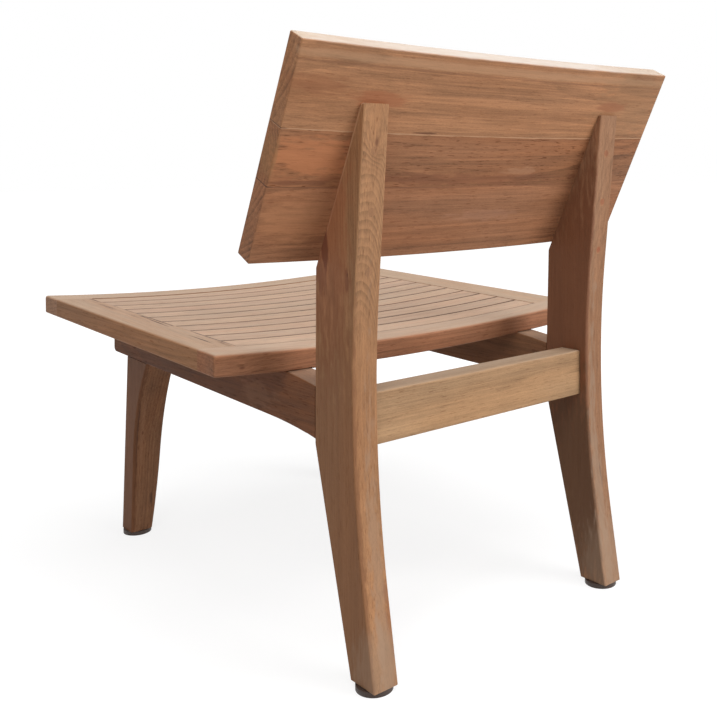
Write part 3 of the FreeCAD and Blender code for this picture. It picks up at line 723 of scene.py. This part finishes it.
# %% Side boards and slats
NARROW_INNER = 0.2770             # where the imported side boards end, from the chair's middle
WIDE_INNER = 0.2555               # and the new ones
SLAT_END = 0.2550
HOLLOW_RADIUS = 3.933             # of the seat's hollow, from side to side
EDGE_REACH = 0.0005               # the rounding of the inner edge lies within this
FLAT_ANGLE = 30                   # faces that meet at more than this many degrees get a sharp edge


def hollow_at(x):
    """How far the hollow lies under the centre of its curve, at a distance from the chair's middle."""
    return math.sqrt(HOLLOW_RADIUS ** 2 - x ** 2)


sunk = hollow_at(WIDE_INNER) - hollow_at(NARROW_INNER)
for side, sign in (("left", 1), ("right", -1)):
    board = copy_of("seat_side_member_" + side, "seat_side_board_" + side)
    select_where(board, "VERT", lambda vertex: abs(vertex.co.x) < NARROW_INNER + EDGE_REACH)
    bpy.ops.transform.translate(value=(sign * (WIDE_INNER - NARROW_INNER), 0, -sunk))
    stands_for(board, "seat_side_member_" + side, FLAT_ANGLE)

for number in range(1, len(SLAT_TONES) + 1):
    slat = copy_of("seat_slat_%02d" % number, "slat_%02d" % number)
    for sign in (1, -1):
        bpy.ops.mesh.select_all(action="SELECT")
        bpy.ops.mesh.bisect(plane_co=(sign * SLAT_END, 0, 0), plane_no=(sign, 0, 0), use_fill=True,
                            clear_outer=True)
    stands_for(slat, "seat_slat_%02d" % number, FLAT_ANGLE)

# %% [markdown]
# ## Plugs
#
# A wood plug hides each screw behind the backrest. It is cut from the same
# wood and turned until its grain runs with the leg's, so it hardly shows. Its
# own heart and seed make it differ a little from the leg round it, and the
# far leg's plugs are a little redder.

# %% The plugs
plug_wood = Board(
    LEFT, BACK, (0.02, -0.10), (162, 118, 84), ring=0.0016, seed=40.0,
    marks=(Mark((-0.1940, 0.3274, 0.5861), (0.0060, 0.02, 0.0060), (140, 78, 54), 0.55, 0.4),
           Mark((-0.1940, 0.3207, 0.5213), (0.0060, 0.02, 0.0060), (146, 80, 56), 0.55, 0.4),
           Mark((-0.1940, 0.3140, 0.4564), (0.0060, 0.02, 0.0060), (150, 78, 52), 0.65, 0.4)))
dress("backrest_plugs", teak("teak_plugs", plug_wood, middle_of("backrest_plugs")))
print("plugs dressed:", nodes["backrest_plugs"].name)

# %% [markdown]
# ## Plastic and steel
#
# The legs stand on dark brown plastic discs, each held by one nail. The nails
# and the screws are bright steel, a little dulled by handling. Plastic is a
# plain colour with a slightly uneven gloss, and steel is all reflection, so
# its finish needs only a roughness that varies.

# %% Plastic
def worn_gloss(finish, low, high, grain):
    """A roughness that goes from low to high in patches of this many to a metre."""
    patches = finish.noise(finish.place(), (grain, grain, grain), 4.0).over(-0.15, 0.2)
    return low + patches * (high - low)


plastic = Finish("glide_plastic")
speckle = plastic.noise(plastic.place(), (900.0, 900.0, 900.0), 2.0).over(-0.2, 0.2)
plastic.finish_with(Base_Color=plastic.mix(colour_of(54, 40, 34), colour_of(72, 55, 46), speckle),
                    Roughness=worn_gloss(plastic, 0.42, 0.65, 250.0))
print("finish for the glides:", plastic.material.name)

# %% Steel
steel = Finish("screw_steel")
dulled = steel.noise(steel.place(), (700.0, 700.0, 700.0), 3.0).over(-0.15, 0.25)
steel.finish_with(Base_Color=steel.mix(colour_of(196, 194, 188), colour_of(160, 156, 148), dulled),
                  Metallic=1.0, Roughness=worn_gloss(steel, 0.24, 0.44, 900.0))
for node in ("glide_nails", "backrest_screws", "seat_screws"):
    dress(node, steel.material)
print("finish for nails and screws:", steel.material.name)

# %% [markdown]
# ## Glides
#
# A real glide is a moulded disc, a little wider than the foot, with a raised
# rim to stand on and a deep seat for its nail in the middle. A lathe shape
# like this one can be spun from a profile, but it is quicker from a round
# disc: each inset draws a smaller circle on its underside, and each extrusion
# pushes that circle in or out. Bridging the last circle above to the one below
# makes the nail's hole.

# %% The glides
GLIDE_RADIUS = 0.021
GLIDE_CORNERS = 72
RIM_WIDTH = 0.0035
RIM_HEIGHT = 0.0008
BOSS_RADIUS = 0.0080
NAIL_SEAT_RADIUS = 0.0036
NAIL_SEAT_DEPTH = 0.0026
NAIL_RADIUS = 0.00135
GLIDE_SOFTENING = 0.0003
ROUND_ANGLE = 40                  # for turned parts, in place of FLAT_ANGLE


def soften(piece, width):
    """Take the sharpness off every edge of the active piece."""
    bevel = piece.modifiers.new("softened", "BEVEL")
    bevel.width = width
    bevel.segments = 2
    bpy.ops.object.modifier_apply(modifier=bevel.name)


def step_in(thickness, height):
    """A smaller circle inside the selected face, pushed up by a height."""
    bpy.ops.mesh.inset(thickness=thickness)
    if height:
        bpy.ops.mesh.extrude_region_move(TRANSFORM_OT_translate={"value": (0, 0, height)})


def glide(end, side):
    """A new disc for one foot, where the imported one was."""
    node = "glide_%s_%s" % (end, side)
    bottom, top = (Vector(corner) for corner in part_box(node))
    bpy.ops.object.select_all(action="DESELECT")
    middle = (bottom + top) / 2
    bpy.ops.mesh.primitive_cylinder_add(vertices=GLIDE_CORNERS, radius=GLIDE_RADIUS,
                                        depth=top.z - bottom.z, location=middle)
    disc = bpy.context.object
    disc.name = "glide_disc_%s_%s" % (end, side)
    bpy.ops.object.transform_apply(location=True, rotation=True, scale=True)
    bpy.ops.object.mode_set(mode="EDIT")
    select_where(disc, "FACE", lambda face: face.normal.z < -0.9)
    step_in(RIM_WIDTH, RIM_HEIGHT)
    step_in(GLIDE_RADIUS - RIM_WIDTH - BOSS_RADIUS, -RIM_HEIGHT)
    step_in(BOSS_RADIUS - NAIL_SEAT_RADIUS, NAIL_SEAT_DEPTH)
    step_in(NAIL_SEAT_RADIUS - NAIL_RADIUS, 0)
    select_where(disc, "FACE", lambda face: face.normal.z > 0.9 and face.center.z > top.z - 0.0001)
    step_in(GLIDE_RADIUS - NAIL_RADIUS, 0)
    select_where(disc, "FACE", lambda face: (face.center - middle).to_2d().length < 0.0005)
    bpy.ops.mesh.bridge_edge_loops()
    bpy.ops.object.mode_set(mode="OBJECT")
    soften(disc, GLIDE_SOFTENING)
    disc.data.materials.append(plastic.material)
    stands_for(disc, node, ROUND_ANGLE)


for end in ("front", "rear"):
    for side in ("left", "right"):
        glide(end, side)

# %% [markdown]
# ## Seat screws
#
# Eight screws hold the seat from below, deep in their holes in the rails. A
# plain disc for a head would look like a blind plug, so each head gets the
# six-sided socket that a key turns. A Boolean cuts it, which subtracts one
# closed form from another. The cutters are six-sided prisms, one in the middle
# of each head, joined so that one modifier does all the work. A bevel then
# takes the sharpness off the steel.

# %% Where the heads are
SEAT_TILT = math.radians(1.73)    # the screws are square to the seat, which leans back this much
HEAD_RADIUS = 0.0043
SOCKET_RADIUS = 0.0023
SOCKET_DEPTH = 0.0020
HEAD_SOFTENING = 0.0002


def head_centres(piece, axis):
    """The middle of each head's underside: the lowest corners along the screws, gathered head by head."""
    heights = [axis.dot(vertex.co) for vertex in piece.data.vertices]
    lowest = min(heights) + 0.0002
    corners = [vertex.co for vertex, height in zip(piece.data.vertices, heights) if height < lowest]
    centres = []
    while corners:
        head = [corner for corner in corners if (corner - corners[0]).length < 2.1 * HEAD_RADIUS]
        corners = [corner for corner in corners if corner not in head]
        centres.append(sum(head, Vector()) / len(head))
    return centres


screws = copy_of("seat_screws", "seat_screw_set")
bpy.ops.object.mode_set(mode="OBJECT")
centres = head_centres(screws, Vector((0, math.sin(SEAT_TILT), math.cos(SEAT_TILT))))
print("screw heads:", len(centres))

# %% The sockets
cutters = []
for centre in centres:
    bpy.ops.mesh.primitive_cylinder_add(vertices=6, radius=SOCKET_RADIUS, depth=2 * SOCKET_DEPTH,
                                        location=centre, rotation=(-SEAT_TILT, 0, 0))
    cutters.append(bpy.context.object)
for cutter in cutters:
    cutter.select_set(True)
bpy.ops.object.join()
cutter = bpy.context.object

bpy.ops.object.select_all(action="DESELECT")
screws.select_set(True)
bpy.context.view_layer.objects.active = screws
socket = screws.modifiers.new("socket", "BOOLEAN")
socket.operation = "DIFFERENCE"
socket.object = cutter
bpy.ops.object.modifier_apply(modifier=socket.name)
bpy.data.objects.remove(cutter)
soften(screws, HEAD_SOFTENING)
stands_for(screws, "seat_screws", ROUND_ANGLE)

# %% [markdown]
# ## The floor
#
# A photograph for a shop is cut out on white. White light from below would
# flood the chair, so the floor has two looks: what it gives back to the chair
# is a plain pale grey, and what the camera and reflections see is nearly
# white. Light Path tells the two apart. Some grey stays in the camera's look,
# so that the chair's soft shadow still shows under it.

# %% The floor
FLOOR_PAINT = 0.50                # how much light the floor gives back to the chair
FLOOR_SHADE = 0.26                # how much of the chair's shadow the camera sees
FLOOR_GLOW = 0.82                 # white that the camera sees whatever the shadow
SHADOW_FADES = (0.6, 1.6)         # metres from the chair's middle, between which it fades out
FLOOR_SIDE = 60.0


def seen_directly(tree):
    """1 for the camera and for what is seen in a reflection or through glass, and 0 for other light."""
    rays = [tree.add("ShaderNodeLightPath", {}, {}, name + " Ray")
            for name in ("Is Camera", "Is Glossy", "Is Transmission")]
    return (rays[0] + rays[1] + rays[2]).clipped()


bpy.ops.object.select_all(action="DESELECT")
bpy.ops.mesh.primitive_plane_add(size=FLOOR_SIDE, location=(0, 0, 0))
floor = bpy.context.object
floor.name = "floor"
ground = Finish("floor_white")
shown = seen_directly(ground)
away = ground.length(ground.place())
glow = shown * (FLOOR_GLOW + away.over(*SHADOW_FADES) * (1.0 - FLOOR_GLOW))
paint = FLOOR_PAINT - shown * (FLOOR_PAINT - FLOOR_SHADE)
ground.finish_with(Base_Color=ground.add("ShaderNodeCombineColor", {}, {0: paint, 1: paint, 2: paint}),
                   Emission_Color=ground.add("ShaderNodeCombineColor", {}, {0: glow, 1: glow, 2: glow}),
                   Emission_Strength=1.0, Roughness=0.9, Specular_IOR_Level=0.0)
floor.data.materials.append(ground.material)
floor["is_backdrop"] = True
print("floor:", floor.name)

# %% [markdown]
# ## Light
#
# In the photograph the chair's rear faces are lit evenly and its near sides
# are darker, so the main lamp stands behind the chair, to the sitter's right.
# Large round lamps give soft edges to the shadows. One overhead lights the
# seat, a weak one on the near side keeps the dark faces from going black, and
# the room adds a little light from everywhere.

# %% The room
WORLD_FILL = 0.20
world = bpy.data.worlds.new("studio")
bpy.context.scene.world = world
world.use_nodes = True
room = Nodes(world.node_tree, "Background")
room.finish_with(Color=(1, 1, 1, 1), Strength=WORLD_FILL + seen_directly(room) * (1.0 - WORLD_FILL))
print("light from everywhere:", WORLD_FILL)


# %% The lamps
def lamp(name, place, size, power):
    """A round lamp that faces the middle of the chair, with its width in metres and power in watts."""
    bpy.ops.object.light_add(type="AREA", location=place)
    thing = bpy.context.object
    thing.name = name
    thing.data.shape = "DISK"
    thing.data.size = size
    thing.data.energy = power
    target = (box_low + box_high) / 2
    thing.rotation_euler = (target - Vector(place)).to_track_quat("-Z", "Y").to_euler()
    print("lamp:", name, power, "W")


lamp("key", (-1.3, 2.6, 1.7), 2.1, 61.0)
lamp("side", (1.5, 1.2, 1.7), 1.0, 12.0)
lamp("top", (0.1, 0.2, 2.9), 2.4, 52.0)

# %% [markdown]
# ## The camera
#
# The camera's place and its focal length were found by fitting about two
# hundred points of the photograph to the chair's sizes. The photograph was
# cropped after it was taken, so its optical axis is not in its middle, and
# the camera's shift makes up for that.

# %% The camera
IMAGE_SIDE = 717                  # pixels
FOCAL_PIXELS = 940.49
AXIS_PIXELS = (447.77, 209.47)
CAMERA_PLACE = (0.8023, 1.1221, 0.5642)
AZIMUTH = math.radians(138.17)
ELEVATION = math.radians(2.35)
ROLL = math.radians(-0.45)

backward = Vector((math.sin(AZIMUTH) * math.cos(ELEVATION),
                   -math.cos(AZIMUTH) * math.cos(ELEVATION),
                   math.sin(ELEVATION)))
level_right = (-backward).cross(UP).normalized()
level_up = level_right.cross(-backward)
right = level_right * math.cos(ROLL) + level_up * math.sin(ROLL)
upward = level_up * math.cos(ROLL) - level_right * math.sin(ROLL)

bpy.ops.object.camera_add()
camera = bpy.context.object
turned = Matrix((right, upward, backward)).transposed().to_4x4()
camera.matrix_world = Matrix.Translation(CAMERA_PLACE) @ turned
camera.data.sensor_width = 36.0
camera.data.lens = FOCAL_PIXELS * camera.data.sensor_width / IMAGE_SIDE
camera.data.shift_x = (IMAGE_SIDE / 2 - AXIS_PIXELS[0]) / IMAGE_SIDE
camera.data.shift_y = (AXIS_PIXELS[1] - IMAGE_SIDE / 2) / IMAGE_SIDE
camera.data.clip_start = 0.01
bpy.context.scene.camera = camera
bpy.context.scene.view_settings.view_transform = "Standard"
print("focal length in mm:", round(camera.data.lens, 2))

# %% [markdown]
# ## Sizes and the end
#
# The sizes of the imported model and of the finished one are both printed. The
# finished model has to stay in the box of the imported one.

# %% Sizes
low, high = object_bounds()
print("size of the finished model:", [round(value, 4) for value in high - low])
